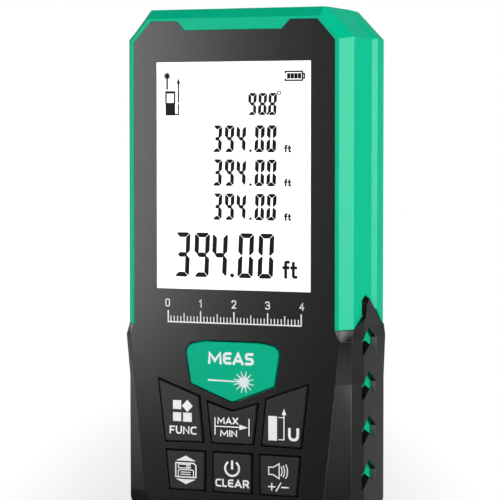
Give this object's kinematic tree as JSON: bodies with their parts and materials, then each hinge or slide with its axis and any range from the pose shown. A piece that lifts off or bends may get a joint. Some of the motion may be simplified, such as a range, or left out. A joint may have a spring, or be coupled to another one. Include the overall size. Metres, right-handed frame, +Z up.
{
  "type": "laser distance meter",
  "caption": "Handheld laser distance meter: two green shells in a slip-on black grip boot, large display, moulded keys, end optics, battery door and camera thread.",
  "frame": {"origin": "middle of the lower end that the meter stands on", "axes": "+Z up towards the optics end, the display faces -Y, +X to the right seen from the front"},
  "size_m": [0.0558, 0.027, 0.1142],
  "materials": {
    "shell_green": "fine satin moulded plastic, blue-green",
    "boot_rubber": "matt soft-touch rubber, near black",
    "plate_black": "smooth satin black",
    "window_clear": "clear, glossy",
    "foam_black": "closed-cell foam",
    "display_white": "evenly lit white",
    "holder_white": "moulded",
    "silicone_grey": "matt silicone",
    "board_green": "solder mask over laminate",
    "chip_black": "moulded epoxy",
    "steel": "zinc plated",
    "chassis_black": "glass-filled, matt to stop stray light",
    "brass": "turned",
    "lens_glass": "polished and coated",
    "cell_jacket": "printed film sleeve, plain",
    "nickel": "nickel plated",
    "key_green": "satin moulded plastic",
    "key_black": "satin moulded plastic"
  },
  "bodies": {
    "housing": {"front_housing": "shell_green", "rear_housing": "shell_green", "grip_boot": "boot_rubber", "face_plate": "plate_black", "display_window": "window_clear", "display_gasket": "foam_black", "lcd_glass": "display_white", "lcd_backlight": "display_white", "lcd_frame": "holder_white", "lcd_connector": "silicone_grey", "main_board": "board_green", "board_components": "chip_black", "dome_switches": "steel", "buzzer": "chip_black", "board_screws": "steel", "keypad_mat": "silicone_grey", "housing_screws": "steel", "optics_chassis": "chassis_black", "optics_screws": "steel", "laser_barrel": "brass", "laser_diode": "brass", "collimator_lens": "lens_glass", "receiver_lens": "lens_glass", "receiver_board": "board_green", "receiver_sensor": "steel", "end_bezel": "plate_black", "emitter_window": "window_clear", "battery_cells": "cell_jacket", "battery_contacts": "nickel", "battery_springs": "nickel", "tripod_insert": "brass", "strap_pin": "steel"},
    "meas_key": {"meas_key": "key_green"},
    "func_key": {"func_key": "key_black"},
    "max_min_key": {"max_min_key": "key_black"},
    "reference_key": {"reference_key": "key_black"},
    "save_key": {"save_key": "key_black"},
    "clear_key": {"clear_key": "key_black"},
    "sound_key": {"sound_key": "key_black"},
    "battery_door": {"battery_door": "shell_green"}
  },
  "joints": [
    {"name": "meas_press", "type": "slide", "parent": "housing", "child": "meas_key", "axis": [0, 1, 0], "range_m": [0, 0.0005], "stiffness_N_per_m": 1500, "springref_m": -0.0008},
    {"name": "func_press", "type": "slide", "parent": "housing", "child": "func_key", "axis": [0, 1, 0], "range_m": [0, 0.0005], "stiffness_N_per_m": 1500, "springref_m": -0.0008},
    {"name": "max_min_press", "type": "slide", "parent": "housing", "child": "max_min_key", "axis": [0, 1, 0], "range_m": [0, 0.0005], "stiffness_N_per_m": 1500, "springref_m": -0.0008},
    {"name": "reference_press", "type": "slide", "parent": "housing", "child": "reference_key", "axis": [0, 1, 0], "range_m": [0, 0.0005], "stiffness_N_per_m": 1500, "springref_m": -0.0008},
    {"name": "save_press", "type": "slide", "parent": "housing", "child": "save_key", "axis": [0, 1, 0], "range_m": [0, 0.0005], "stiffness_N_per_m": 1500, "springref_m": -0.0008},
    {"name": "clear_press", "type": "slide", "parent": "housing", "child": "clear_key", "axis": [0, 1, 0], "range_m": [0, 0.0005], "stiffness_N_per_m": 1500, "springref_m": -0.0008},
    {"name": "sound_press", "type": "slide", "parent": "housing", "child": "sound_key", "axis": [0, 1, 0], "range_m": [0, 0.0005], "stiffness_N_per_m": 1500, "springref_m": -0.0008},
    {"name": "door_tilt", "type": "hinge", "parent": "housing", "child": "battery_door", "pos_m": [0, 0.0135, 0.062], "axis": [1, 0, 0], "range_deg": [0, 80]}
  ]
}
